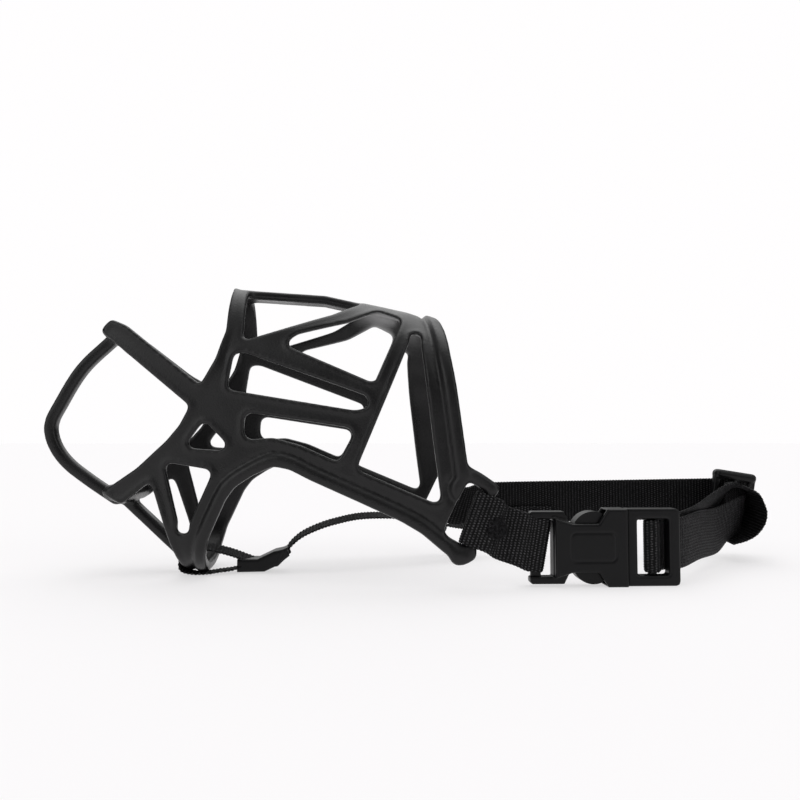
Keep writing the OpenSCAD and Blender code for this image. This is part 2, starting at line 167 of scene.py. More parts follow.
def studio_world():
    """White to the eye; as light, a dim gradient with soft lights above, to the sides and behind"""
    world = bpy.data.worlds.new("studio")
    world.use_nodes = True
    tree = world.node_tree
    glow, output = tree.nodes["Background"], tree.nodes["World Output"]
    where = tree.nodes.new("ShaderNodeTexCoord")
    parts = tree.nodes.new("ShaderNodeSeparateXYZ")
    link(tree, where, "Generated", parts, "Vector")
    total = ranged(tree, parts, "Z", HORIZON_GLOW, ZENITH_GLOW, 0.1, 0.9).outputs[0]
    for aim, outer, inner, brightness in SOFTBOXES:
        toward = tree.nodes.new("ShaderNodeVectorMath")
        toward.operation = "DOT_PRODUCT"
        toward.inputs[1].default_value = Vector(aim).normalized()
        link(tree, where, "Generated", toward, 0)
        total = combined(tree, "ADD", total, ranged(tree, toward, "Value", 0.0, brightness, outer, inner).outputs[0])
    tree.links.new(total, glow.inputs["Strength"])
    seen = tree.nodes.new("ShaderNodeBackground")
    seen.inputs["Strength"].default_value = 1.0
    path = tree.nodes.new("ShaderNodeLightPath")
    mix = tree.nodes.new("ShaderNodeMixShader")
    link(tree, path, "Is Camera Ray", mix, "Fac")
    tree.links.new(glow.outputs[0], mix.inputs[1])
    tree.links.new(seen.outputs[0], mix.inputs[2])
    tree.links.new(mix.outputs[0], output.inputs["Surface"])
    glow.inputs["Color"].default_value = (1, 1, 1, 1)
    seen.inputs["Color"].default_value = (1, 0.99, 0.995, 1)
    return world


# ---- procedural materials ------------------------------------------------------------------------------

def link(tree, a, out, b, into):
    tree.links.new(a.outputs[out], b.inputs[into])


def noise_texture(tree, where, out, scale, detail):
    noise = tree.nodes.new("ShaderNodeTexNoise")
    noise.inputs["Scale"].default_value = scale
    noise.inputs["Detail"].default_value = detail
    link(tree, where, out, noise, "Vector")
    return noise


def noise_bump(tree, shader, scale, strength, depth):
    """Fine grain from 3-D noise fixed to the piece, as bump; returns the coordinate and noise nodes"""
    where = tree.nodes.new("ShaderNodeTexCoord")
    noise = noise_texture(tree, where, "Object", scale, 6.0)
    bump = tree.nodes.new("ShaderNodeBump")
    bump.inputs["Strength"].default_value = strength
    bump.inputs["Distance"].default_value = depth
    link(tree, noise, "Fac", bump, "Height")
    link(tree, bump, "Normal", shader, "Normal")
    return where, noise


def ranged(tree, source, out, low, high, from_low=0.3, from_high=0.7):
    node = tree.nodes.new("ShaderNodeMapRange")
    node.inputs["From Min"].default_value, node.inputs["From Max"].default_value = from_low, from_high
    node.inputs["To Min"].default_value, node.inputs["To Max"].default_value = low, high
    link(tree, source, out, node, "Value")
    return node


def two_tones(tree, source, out, dark, light):
    ramp = tree.nodes.new("ShaderNodeValToRGB")
    ramp.color_ramp.elements[0].position, ramp.color_ramp.elements[1].position = 0.35, 0.68
    ramp.color_ramp.elements[0].color = (*dark, 1)
    ramp.color_ramp.elements[1].color = (*light, 1)
    link(tree, source, out, ramp, "Fac")
    return ramp


def rubber_material():
    made, tree, shader = node_material("black_rubber")
    where, _ = noise_bump(tree, shader, 1400.0, 0.55, 0.0002)
    patches = noise_texture(tree, where, "Object", 60.0, 4.0)
    link(tree, two_tones(tree, patches, "Fac", (0.0035, 0.0034, 0.0037), (0.0065, 0.0063, 0.0068)), "Color",
         shader, "Base Color")
    link(tree, ranged(tree, patches, "Fac", 0.27, 0.4), "Result", shader, "Roughness")
    shader.inputs["Specular IOR Level"].default_value = 0.32
    return made


def plastic_material():
    made, tree, shader = node_material("black_plastic")
    where, _ = noise_bump(tree, shader, 2200.0, 0.35, 0.0001)
    patches = noise_texture(tree, where, "Object", 90.0, 2.0)
    link(tree, two_tones(tree, patches, "Fac", (0.003, 0.003, 0.0034), (0.0045, 0.0045, 0.005)), "Color",
         shader, "Base Color")
    link(tree, ranged(tree, patches, "Fac", 0.3, 0.4), "Result", shader, "Roughness")
    shader.inputs["Specular IOR Level"].default_value = 0.2
    return made


def combined(tree, operation, a, b):
    """A math node on two sockets or numbers"""
    node = tree.nodes.new("ShaderNodeMath")
    node.operation = operation
    for k, value in enumerate((a, b)):
        if isinstance(value, (int, float)):
            node.inputs[k].default_value = value
        else:
            tree.links.new(value, node.inputs[k])
    return node.outputs[0]


NYLON_SHADE = (0.0008, 0.0008, 0.001)     # bottom of the weave and of the thread


def webbing_material(name, twill, light):
    """Woven nylon with loose fibres and a diagonal twill; its colour follows the weave's height, a painted highlight on
    the tops of the beads and painted shade, nearly black, in the grooves
    """
    made, tree, shader = node_material(name)
    where = tree.nodes.new("ShaderNodeAttribute")
    where.attribute_name = WEAVE
    parts = tree.nodes.new("ShaderNodeSeparateXYZ")
    link(tree, where, "Vector", parts, "Vector")
    slant = combined(tree, "ADD", combined(tree, "MULTIPLY", parts.outputs["X"], 0.8), parts.outputs["Y"])
    ripple = combined(tree, "SINE", combined(tree, "MULTIPLY", slant, 2 * math.pi / TWILL_PITCH), 0)
    diagonal = combined(tree, "ADD", combined(tree, "MULTIPLY", ripple, 0.5), 0.5)
    fibres = noise_texture(tree, where, "Vector", 1.6, 5.0)
    height = combined(tree, "ADD", combined(tree, "MULTIPLY", parts.outputs["Z"], 1 - twill),
                      combined(tree, "MULTIPLY", diagonal, twill))
    height = combined(tree, "MULTIPLY", height, ranged(tree, fibres, "Fac", 0.25, 1.5, 0.3, 0.7).outputs[0])
    bump = tree.nodes.new("ShaderNodeBump")
    bump.inputs["Strength"].default_value = 0.9
    bump.inputs["Distance"].default_value = 0.25 * MM
    tree.links.new(height, bump.inputs["Height"])
    link(tree, bump, "Normal", shader, "Normal")
    # colour from the weave's height, varied at random by the fibres: painted shade in the grooves, painted highlight on
    # the bead tops
    tone = tree.nodes.new("ShaderNodeValToRGB")
    tone.color_ramp.elements[0].position, tone.color_ramp.elements[1].position = 0.3, 1.0
    tone.color_ramp.elements[0].color = (*NYLON_SHADE, 1)
    tone.color_ramp.elements[1].color = (*light, 1)
    tree.links.new(height, tone.inputs["Fac"])
    link(tree, tone, "Color", shader, "Base Color")
    shader.inputs["Roughness"].default_value = 0.5
    shader.inputs["Specular IOR Level"].default_value = 0.12
    return made


def thread_material():
    made, tree, shader = node_material("black_thread")
    _, twist = noise_bump(tree, shader, 900.0, 1.0, 0.0004)
    # colour from the same noise as the bump: painted shade in its hollows, over the thread's own black
    link(tree, two_tones(tree, twist, "Fac", NYLON_SHADE, (0.02, 0.0195, 0.021)), "Color",
         shader, "Base Color")
    shader.inputs["Roughness"].default_value = 0.7
    shader.inputs["Specular IOR Level"].default_value = 0.1
    return made


# ---- shapes from distance fields -----------------------------------------------------------------------

FIELD_LIMIT = 3.0           # distances are cut off here, in grid steps or millimetres


def smooth_min(a, b, k):
    h = np.clip(0.5 + 0.5 * (b - a) / k, 0, 1)
    return b + (a - b) * h - k * h * (1 - h)


def smooth_max(a, b, k):
    return -smooth_min(-a, -b, k)


def step(value, low, high):
    t = np.clip((value - low) / (high - low), 0, 1)
    return t * t * (3 - 2 * t)


def line_distance(x, z, points):
    """Distance in the side view to an open line through points"""
    found = np.full(np.broadcast(x, z).shape, 1e6, np.float32)
    for (ax, az), (bx, bz) in zip(points[:-1], points[1:]):
        dx, dz = bx - ax, bz - az
        t = np.clip(((x - ax) * dx + (z - az) * dz) / (dx * dx + dz * dz), 0, 1)
        found = np.minimum(found, np.hypot(x - ax - t * dx, z - az - t * dz))
    return found


def outline_distance(x, z, points):
    """Signed distance in the side view to a closed outline, negative inside"""
    inside = np.zeros(np.broadcast(x, z).shape, bool)
    ring = list(points) + [points[0]]
    for (ax, az), (bx, bz) in zip(ring[:-1], ring[1:]):
        if az != bz:
            inside ^= ((az > z) != (bz > z)) & (x < (bx - ax) * (z - az) / (bz - az) + ax)
    found = line_distance(x, z, ring)
    return np.where(inside, -found, found)


def rounded_outline(x, z, points, r):
    """Signed distance to an outline whose convex corners have radius r"""
    plain = outline_distance(x, z, points)
    return np.where(plain + r > 0, outline_distance(x, z, shrunk(points, r)) - r, plain)


def shrunk(points, r):
    """A convex outline moved in by r"""
    p = np.array(points, float)
    area = np.sum(p[:, 0] * np.roll(p[:, 1], -1) - np.roll(p[:, 0], -1) * p[:, 1])
    turn = 1 if area > 0 else -1
    made = []
    for i in range(len(p)):
        a, b, c = p[i - 1], p[i], p[(i + 1) % len(p)]
        u, v = (b - a) / np.linalg.norm(b - a), (c - b) / np.linalg.norm(c - b)
        n = turn * np.array([-u[1] - v[1], u[0] + v[0]])
        n /= np.linalg.norm(n)
        made.append(b + n * r / max(np.dot(n, turn * np.array([-u[1], u[0]])), 0.35))
    return [tuple(q) for q in made]


def rounded(u, v, r):
    """Signed distance of a corner rounded to r, from the distances past the two sides it is rounded inside"""
    return np.hypot(np.maximum(u, 0), np.maximum(v, 0)) + np.minimum(np.maximum(u, v), 0) - r


def blurred(field, steps):
    """A field smoothed between neighbours, steps times along each axis"""
    for _ in range(steps):
        for axis in range(field.ndim):
            field = (np.roll(field, 1, axis) + 2 * field + np.roll(field, -1, axis)) / 4
    return field


def field_object(name, field, origin, pitch, material, relax=1):
    """Makes a mesh from the zero surface of a distance field on a grid, origin and pitch in millimetres"""
    grid = openvdb.FloatGrid(background=FIELD_LIMIT)
    grid.copyFromArray(np.ascontiguousarray(np.clip(field, -FIELD_LIMIT, FIELD_LIMIT), np.float32))
    points, quads = grid.convertToQuads(isovalue=0.0)
    points = np.asarray(points, np.float64)
    quads = np.asarray(quads, np.int64)[:, ::-1]
    for _ in range(relax):
        total, count = np.zeros_like(points), np.zeros(len(points))
        for a in range(4):
            b = (a + 1) % 4
            for i, j in ((a, b), (b, a)):
                np.add.at(total, quads[:, i], points[quads[:, j]])
                np.add.at(count, quads[:, i], 1)
        points = 0.5 * points + 0.5 * total / count[:, None]
    points = (points * pitch + np.array(origin)) * MM
    return mesh_object(name, points, quads, material)


def mesh_object(name, points, faces, material, ends=()):
    mesh = bpy.data.meshes.new(name)
    mesh.from_pydata(points.tolist(), [], faces.tolist() + list(ends))
    mesh.validate()
    mesh.shade_smooth()
    mesh.materials.append(material)
    made = bpy.data.objects.new(name, mesh)
    bpy.context.scene.collection.objects.link(made)
    return made


def tube_faces(n, m, closed=False):
    """Quads of a tube of n rings of m points, and its two end faces where it isn't closed"""
    rings = n if closed else n - 1
    a = (np.arange(rings) * m)[:, None]
    b = ((np.arange(rings) + 1) % n * m)[:, None]
    j, k = np.arange(m)[None, :], (np.arange(m)[None, :] + 1) % m
    quads = np.stack([a + j, a + k, b + k, b + j], axis=-1).reshape(-1, 4)
    ends = [] if closed else [list(range(m - 1, -1, -1)), [(n - 1) * m + q for q in range(m)]]
    return quads, ends


# ---- basket --------------------------------------------------------------------------------------------

def smooth_line(points, k=8):
    """Points on a smooth curve through the given ones"""
    p = np.array(points, float)
    p = np.vstack([2 * p[0] - p[1], p, 2 * p[-1] - p[-2]])
    made = []
    for i in range(1, len(p) - 2):
        a, b, c, d = p[i - 1:i + 3]
        for t in np.arange(k) / k:
            made.append(0.5 * (2 * b + (c - a) * t + (2 * a - 5 * b + 4 * c - d) * t * t
                               + (3 * b - a - 3 * c + d) * t ** 3))
    return np.array(made + [p[-2]])


def bar_field(across, along, half_a, half_b, r):
    """Signed distance of a rounded bar section"""
    return rounded(np.abs(across) - half_a + r, np.abs(along) - half_b + r, r)


def capsule(x, y, z, a, b, r):
    a, b = np.array(a, float), np.array(b, float)
    d = b - a
    t = np.clip(((x - a[0]) * d[0] + (y - a[1]) * d[1] + (z - a[2]) * d[2]) / (d @ d), 0, 1)
    return np.sqrt((x - a[0] - t * d[0]) ** 2 + (y - a[1] - t * d[1]) ** 2 + (z - a[2] - t * d[2]) ** 2) - r


def basket_half_width(x):
    s = np.clip((x - BASKET_FRONT_X) / (BASKET_REAR_X - BASKET_FRONT_X), 0, 1.1)
    return FRONT_HALF_W + (REAR_HALF_W - FRONT_HALF_W) * s ** WIDENING_POWER


def far_arm_sags(mesh):
    """Lowers the far one of the two upper front arms: the rubber lies a little out of true"""
    place = np.empty(len(mesh.vertices) * 3, np.float32)
    mesh.vertices.foreach_get("co", place)
    x, y, z = (place.reshape(-1, 3) / MM).T
    fade_x, fade_y, fade_z = FAR_ARM_FADE
    drop = FAR_ARM_SAG * step(-x, *fade_x) * step(y, *fade_y) * step(z, *fade_z)
    place[2::3] -= drop * MM
    mesh.vertices.foreach_set("co", place)
    mesh.update()


def groove(distance, place, width, depth):
    return depth * np.exp(-((distance - place) / width) ** 2)


def basket_object(material):
    """The near half of the basket as a distance field on a grid, mirrored to the far side"""
    pitch = 0.88
    xs = np.arange(-210, 29, pitch)
    ys = np.arange(0, 62, pitch)
    zs = np.arange(-2, 153, pitch)
    side_x, side_z = np.meshgrid(xs, zs, indexing="ij")
    side = outline_distance(side_x, side_z, OUTLINE)
    for w in WINDOWS:
        side = np.maximum(side, -rounded_outline(side_x, side_z, w, CORNER_R))
    side = blurred(side, 3)
    front_top = blurred(rounded_outline(side_x, side_z, FRONT_TOP_WINDOW, CORNER_R), 3)
    strip = outline_distance(side_x, side_z, TOP_STRIP)
    arch = line_distance(side_x, side_z, smooth_line(ARCH_EDGE, 4))
    rear = line_distance(side_x, side_z, smooth_line(REAR_EDGE, 4))

    x = xs[:, None, None].astype(np.float32)
    y = ys[None, :, None].astype(np.float32)
    z = zs[None, None, :].astype(np.float32)
    half_w = basket_half_width(xs)[:, None, None]
    top = np.interp(xs, *zip(*TOP_Z))[:, None, None]
    bottom = np.interp(xs, (-110, -101), (TOE_Z, -60))[:, None, None]
    rise = np.maximum(np.maximum((z - ARCH_Z) / (top - ARCH_Z), (CHIN_Z - z) / (CHIN_Z - bottom)), 0)
    form = ((np.abs(y) / half_w) ** SIDE_POWER + rise ** SIDE_POWER) ** (1 / SIDE_POWER)
    gx, gy, gz = np.gradient(form.astype(np.float32), pitch)
    out = (form - 1) / np.maximum(np.sqrt(gx * gx + gy * gy + gz * gz), 0.004)
    out = smooth_max(out, BASKET_FRONT_CUT - x, FRONT_CORNER_R)

    flat = side[:, None, :]
    lip = WINDOW_LIP * step(flat, -2.8, -1.4)
    arch_bead = ARCH_BEAD * step(-arch, -6.2, -5.2)[:, None, :]
    rear_bead = REAR_BEAD * step(-rear, -6.9, -5.7)[:, None, :]
    grooves = groove(arch, *ARCH_GROOVE) + groove(rear, *REAR_GROOVE)
    raised = np.maximum(np.maximum(arch_bead, rear_bead), lip) - grooves[:, None, :]
    shell = smooth_max(out - raised, -out - WALL, 0.8)
    lattice = smooth_max(flat, -front_top[:, None, :], 1.0)
    lattice = smooth_min(lattice, smooth_max(np.abs(y) - STRIP_HALF_W, strip[:, None, :], 1.0), 4.0)
    body = smooth_max(shell, lattice, 1.5)

    bow_line = smooth_line(BOW)
    bow = bar_field(line_distance(side_x, side_z, bow_line)[:, None, :], y, BOW_T / 2, BOW_W / 2, 1.5)
    body = smooth_min(body, bow, 2.5)
    bottom_strip = bar_field(line_distance(side_x, side_z, ((-163, 38), (-130, 7)))[:, None, :], y, 2.8, 5, 1.2)
    body = smooth_min(body, bottom_strip, 2.5)
    for line, half_t in FRONT_BARS:
        reach = float(basket_half_width(line[0][0])) - 2
        bar = bar_field(line_distance(side_x, side_z, line)[:, None, :], y, half_t, reach, 1.6)
        body = smooth_min(body, bar, 1.5)
    loop_y = np.abs(y) - STRAP_LOOP_Y
    for line, half_t in ((((7.5, 54), (14, 50.5), STRAP_BAR[0]), 3.2), ((STRAP_BAR[1], (4, 14.2)), 3.4)):
        arm = bar_field(line_distance(side_x, side_z, line)[:, None, :], loop_y, half_t, 2.5, 1.6)
        body = smooth_min(body, arm, 2.0)
    (bx, bz), (tx, tz) = STRAP_BAR
    body = smooth_min(body, capsule(x, y, z, (bx, STRAP_LOOP_Y, bz), (tx, STRAP_LOOP_Y, tz), STRAP_BAR_R), 1.0)

    mirrored = np.concatenate([body[:, :0:-1, :], body], axis=1)
    whole = blurred(np.clip(mirrored, -FIELD_LIMIT, FIELD_LIMIT), 1)
    made = field_object("basket_rubber", whole, (xs[0], -ys[-1], zs[0]), pitch, material, relax=2)
    far_arm_sags(made.data)
    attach(made, "basket")
    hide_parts("basket")


# ---- webbing -------------------------------------------------------------------------------------------

def unit(v):
    v = np.array(v, float)
    return v / np.linalg.norm(v)


def wrap(centre, axis, r, a0, a1, half_w, steps=12):
    """Strap frames round a bar, from angle a0 to a1 about its axis"""
    across = unit(np.cross((0, 1, 0), axis))
    made = []
    for a in np.radians(np.linspace(a0, a1, steps + 1)):
        made.append((np.array(centre) + r * (math.cos(a) * across + math.sin(a) * np.array((0, 1, 0))),
                     half_w * np.array(axis)))
    return made


def webbing_object(name, frames, thickness, material, closed=False, rib=1.8, rise=0.42, row=0.3, column=0.3,
                   bead=1.2, beading=0.75, second=None):
    """A woven strap through frames (centre, half-width vector): ribs of beaded thread lie across it"""
    both = np.array([np.concatenate([f[0], f[1]]) for f in frames], float)
    if closed:
        fine = smooth_line(np.vstack([both[-3:], both, both[:4]]), 12)[36:(3 + len(both)) * 12 + 1]
    else:
        fine = smooth_line(both, 12)
    run = np.concatenate([[0], np.cumsum(np.linalg.norm(np.diff(fine[:, :3], axis=0), axis=1))])
    if closed:
        rib = run[-1] / round(run[-1] / rib)
    at = np.linspace(0, run[-1], int(round(run[-1] / row)) + 1)
    fine = np.stack([np.interp(at, run, fine[:, k]) for k in range(6)], axis=1)
    if closed:
        fine, at = fine[:-1], at[:-1]
    centre, half = fine[:, :3], fine[:, 3:]
    along = np.roll(centre, -1, 0) - np.roll(centre, 1, 0) if closed else np.gradient(centre, axis=0)
    normal = np.cross(along, half)
    normal /= np.linalg.norm(normal, axis=1)[:, None]
    half_w = float(np.mean(np.linalg.norm(half, axis=1)))
    across = max(int(round(2 * half_w / column)), 8)
    v = np.linspace(-1, 1, across)
    v = np.concatenate([v, v[-2:0:-1]])
    side = np.concatenate([np.ones(across), -np.ones(across - 2)])
    side[[0, across - 1]] = 0
    crown = side * np.sqrt(np.clip(1 - np.abs(v) ** 14, 0, 1))
    ribs = np.abs(np.cos(math.pi * at / rib))[:, None] ** 1.3
    turn = np.floor(at / rib + 0.5)[:, None] % 2
    beads = 0.5 + 0.5 * np.cos(2 * math.pi * v[None, :] * half_w / bead + math.pi * turn)
    weave = rise * ribs * (1 - beading + beading * beads)
    depth = (thickness / 2 - rise + weave) * crown[None, :]
    edge = 1 - (0.25 / half_w) * (1 - ribs)
    points = (centre[:, None, :] + half[:, None, :] * (v[None, :] * edge)[..., None]
              + normal[:, None, :] * depth[..., None])
    n, m = len(centre), len(v)
    rings = n if closed else n - 1
    faces, ends = tube_faces(n, m, closed)
    made = mesh_object(name, points.reshape(-1, 3) * MM, faces, material, ends)
    if second:              # another material from a given share of the length on
        made.data.materials.append(second[0])
        slots = np.zeros(len(made.data.polygons), np.int32)
        slots[:rings * m] = np.repeat(np.arange(rings) > second[1] * rings, m)
        made.data.polygons.foreach_set("material_index", slots)
    place = np.zeros((n, m, 3), np.float32)
    place[..., 0], place[..., 1], place[..., 2] = at[:, None], (v * half_w)[None, :], weave / rise
    made.data.attributes.new(WEAVE, "FLOAT_VECTOR", "POINT").data.foreach_set("vector", place.ravel())
    return made


STRAP_AXIS = unit((STRAP_BAR[0][0] - STRAP_BAR[1][0], 0, STRAP_BAR[0][1] - STRAP_BAR[1][1]))
STRAP_ACROSS = np.cross((0, 1, 0), STRAP_AXIS)
STRAP_WRAP_R = STRAP_BAR_R + 0.4 + WEBBING_T / 2
BAR_WRAP_R = BAR_R + 0.4 + WEBBING_T / 2
HALF_W = WEBBING_W / 2
UP = np.array((0.0, 0.0, 1.0))


def strap_bar_middle(y):
    return np.array(((STRAP_BAR[0][0] + STRAP_BAR[1][0]) / 2, y, (STRAP_BAR[0][1] + STRAP_BAR[1][1]) / 2))


def eye(bar, half_w=HALF_W - 0.6):
    half = half_w * STRAP_AXIS
    out = np.array((0, STRAP_WRAP_R, 0))
    return ([(bar + 6 * STRAP_ACROSS + out, half)]
            + wrap(bar - 2.5 * STRAP_ACROSS, STRAP_AXIS, STRAP_WRAP_R, 90, 270, half_w)
            + [(bar + 6 * STRAP_ACROSS - out, half)])


def buckle_strap(material):
    lean = unit((0.18, 0, 1))
    gap = np.array((0, WEBBING_T / 2 + 0.05, 0))
    sewn, along = np.array(SEWN), np.array((4.5, 0, -1.6))
    mid_half = (HALF_W + 0.2) * unit((0.24, 0, 1))
    slot, slot_gap = np.array((39, BUCKLE_Y, BUCKLE_Z + 1.6)), np.array((0, BAR_WRAP_R, 0))
    slot_half = (HALF_W + 0.1) * lean
    finish = (SOCKET_BAR_X + 2.1, BUCKLE_Y, BUCKLE_Z + 1.2)
    frames = (eye(strap_bar_middle(-STRAP_LOOP_Y), HALF_W + 0.3)
              + [(sewn - along - gap, mid_half), (sewn + along - gap, mid_half), (slot - slot_gap, slot_half)]
              + wrap(finish, lean, BAR_WRAP_R, -90, 90, HALF_W)
              + [(slot + slot_gap, slot_half), (sewn + along + gap, mid_half), (sewn - along + gap, mid_half)])
    made = webbing_object("buckle_strap_webbing", frames, WEBBING_T, material, closed=True)
    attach(made, "strap")
    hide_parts("buckle_strap")


def neck_strap_far(material):
    gap = np.array((0, WEBBING_T + 0.1, 0))
    leaning, upright = (HALF_W - 0.6) * unit((0.1, 0, 1)), (HALF_W - 0.2) * UP
    frames = ([(np.array((38, FAR_Y, 31)) - gap, upright), (np.array((30, FAR_Y, 30.4)) - gap, leaning)]
              + eye(strap_bar_middle(STRAP_LOOP_Y))[::-1]
              + [((30, FAR_Y, 30.4), leaning), ((44, FAR_Y, 31.2), upright), ((110, FAR_Y, 32.2), upright),
                 ((198, FAR_Y, 33.5), upright)])
    made = webbing_object("neck_strap_far_webbing", frames, WEBBING_T, material, row=0.36, column=0.38)
    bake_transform(made)
    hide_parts("neck_strap_far")


def neck_strap_lead(material, turned):
    bar = (PLUG_BAR_X, BUCKLE_Y + 0.4, BUCKLE_Z + 0.3)
    half, depth = HALF_W * UP, HALF_W * unit((0, 1, 0.1))
    fold = (HALF_W + 0.7) * unit((0.31, 0, 1))
    near_end = (SLIDER[0], SLIDER[1], SLIDER[2] - 1.5)
    turn_y = 25.8
    frames = (wrap(near_end, UP, BAR_WRAP_R, -60, 215, HALF_W - 0.4)
              + [((179.6, 40.5, 30), HALF_W * UP), ((182, 34.5, 29), HALF_W * unit((0.05, 0, 1))),
                 ((181.4, 28.5, 27.6), HALF_W * unit((0.12, 0, 1))), ((177, 23, 25.4), fold),
                 ((170.5, 17.5, 24.0), fold), ((154, 3, 19.6), half), ((134, -20, 19.9), half),
                 ((118, -38.2, 19), half), ((110, -43, 18.6), half), ((104.6, -43.8, 18.6), half)]
              + wrap(bar, UP, BAR_WRAP_R, -30, -290, HALF_W)
              + [((107, -40.4, 18.8), half), ((116, -35, 20.5), half), ((134, -15, 23), HALF_W * unit((0, -0.15, 1))),
                 ((152, 7, 28), HALF_W * unit((0, -0.35, 1))), ((163, 18, 34), HALF_W * unit((0, -0.8, 1))),
                 ((170, 23.5, 39.5), HALF_W * unit((0, -1, 0.5))), ((174.5, 25, 41.8), HALF_W * unit((0, -1, 0.1))),
                 ((179.3, turn_y, 42.2), -depth), ((184.3, turn_y, 39.2), -depth), ((187.2, turn_y, 33.5), -depth),
                 ((188.4, turn_y, 28.6), -depth), ((187, turn_y, 22.6), -depth), ((182.6, turn_y, 17), -depth),
                 ((176.5, turn_y, 13.6), -depth), ((169, turn_y, 11.6), -depth)])
    made = webbing_object("neck_strap_webbing", frames, WEBBING_T, material, rise=0.4, row=0.4, column=0.4,
                          second=(turned, 0.4))
    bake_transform(made)
    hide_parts("neck_strap_lead", "neck_strap_turn", "neck_strap_end")


def chin_strap(material):
    half_w = CHIN_W / 2
    flat, tilted = half_w * np.array((0, 1, 0)), half_w * unit((0, 1, 0.24))
    loop = [(-101, -4, 3.9), (-106, -6, 2.2), (-113, -8.5, 1.6), (-118, -11.5, 1.3), (-126, -11.5, 1.3),
            (-131.4, -11.5, 4.2), (-131.5, -11.5, 9.6), (-127, -11.5, 13.2), (-119, -10.5, 14), (-108, -6, 10.8)]
    run = [(-99, -3, 7.0), (-92, -2, 4.6), (-85.5, -2, 6.2), (-80.5, -2, 9.2), (-76.5, -1.5, 14.5), (-71, -1, 19),
           (-63, 1, 22.6), (-54, 4, 25.2), (-40, 10, 27.4), (-22, 17, 27), CHIN_SPLIT]
    inner_y = FAR_Y - WEBBING_T / 2 - CHIN_T / 2 - 0.35
    frames = ([(p, flat) for p in loop[:5]] + [(p, tilted) for p in loop[5:] + run]
              + [((6, 27, 21.2), flat), ((18, 33, 18.9), half_w * unit((0, 1, 0.1))),
                 ((32, 41, 20), half_w * unit((0, 0.6, 0.8))), ((46, 47, 22.5), half_w * UP),
                 ((58, inner_y, 24), half_w * UP), ((76, inner_y, 24), half_w * UP)])
    made = webbing_object("chin_strap_webbing", frames, CHIN_T, material, rib=1.9, rise=0.4)
    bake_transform(made)
    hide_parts("chin_strap_front", "chin_strap_rear")


# ---- stitching -----------------------------------------------------------------------------------------

def thread_object(name, points, r, material, body, *replaced):
    """A thread of radius r laid along points"""
    line = np.array(points, float)
    along = np.gradient(line, axis=0)
    along /= np.linalg.norm(along, axis=1)[:, None] + 1e-9
    side = np.cross(along, (0.0, 1.0, 0.0))
    side /= np.linalg.norm(side, axis=1)[:, None] + 1e-9
    over = np.cross(along, side)
    turns = np.radians(np.arange(0, 360, 60))
    rings = line[:, None, :] + r * (np.cos(turns)[None, :, None] * side[:, None, :]
                                    + np.sin(turns)[None, :, None] * over[:, None, :])
    faces, ends = tube_faces(len(line), len(turns))
    made = mesh_object(name, rings.reshape(-1, 3) * MM, faces, material, ends)
    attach(made, body)
    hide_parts(*replaced)


def sewn_patch(centre, r, rows):
    """Thread path of a round patch: close zigzag rows, sewn over once more across"""
    chance = np.random.default_rng(4)
    made = []
    for turned in (0.5, 2.2, 1.3):
        for k, a in enumerate(np.linspace(-0.95, 0.95, rows)):
            reach = r * math.sqrt(1 - a * a) * chance.uniform(0.8, 1.08)
            ends = np.linspace(-reach, reach, 9)[::1 if k % 2 else -1]
            u = r * a + chance.uniform(-0.15, 0.15, 9)
            lift = chance.uniform(0, 0.7, 9)
            made += [(centre[0] + q * math.cos(turned) - w * math.sin(turned), centre[1] - up,
                      centre[2] + q * math.sin(turned) + w * math.cos(turned)) for q, w, up in zip(ends, u, lift)]
    return made


def zigzag(a, b, width, count, front, lift=0.3):
    """Thread path of a zigzag seam from a to b in the side view, at depth front"""
    t = np.linspace(0, 1, count * 8 + 1)
    a, b = np.array(a, float), np.array(b, float)
    along = unit(b - a)
    swing = width / 2 * (2 * np.abs(2 * ((t * count) % 1) - 1) - 1)
    line = a + t[:, None] * (b - a) + swing[:, None] * np.array((-along[1], along[0]))
    return np.stack([line[:, 0], front - lift * np.abs(np.cos(math.pi * t * count * 2)), line[:, 1]], axis=1)


# ---- buckle and sliders --------------------------------------------------------------------------------

THROUGH = 20                # half thickness of a cutter that goes right through
BUCKLE_PITCH, SLIDER_PITCH = 0.32, 0.3
SLIDER_ASKEW = math.radians(9)


def plate(d, y, half_t, r):
    """Solid of side view d and thickness 2 * half_t, with edges rounded to r"""
    return rounded(d[:, None, :] + r, np.abs(y) - half_t + r, r)


def box2(x, z, x0, x1, z0, z1, r=0.0):
    """Signed distance in the side view to a box with corners rounded to r"""
    u, v = np.abs(x - (x0 + x1) / 2) - (x1 - x0) / 2 + r, np.abs(z - (z0 + z1) / 2) - (z1 - z0) / 2 + r
    return rounded(u, v, r)


def fine_grid(x0, x1, y1, z0, z1, pitch):
    """Axes and side-view arrays of a grid that is symmetric about y = 0"""
    xs, zs = np.arange(x0, x1, pitch), np.arange(z0, z1, pitch)
    ys = np.arange(-y1, y1 + pitch / 2, pitch)
    x, z = np.meshgrid(xs, zs, indexing="ij")
    return xs, ys, zs, x, ys[None, :, None], z


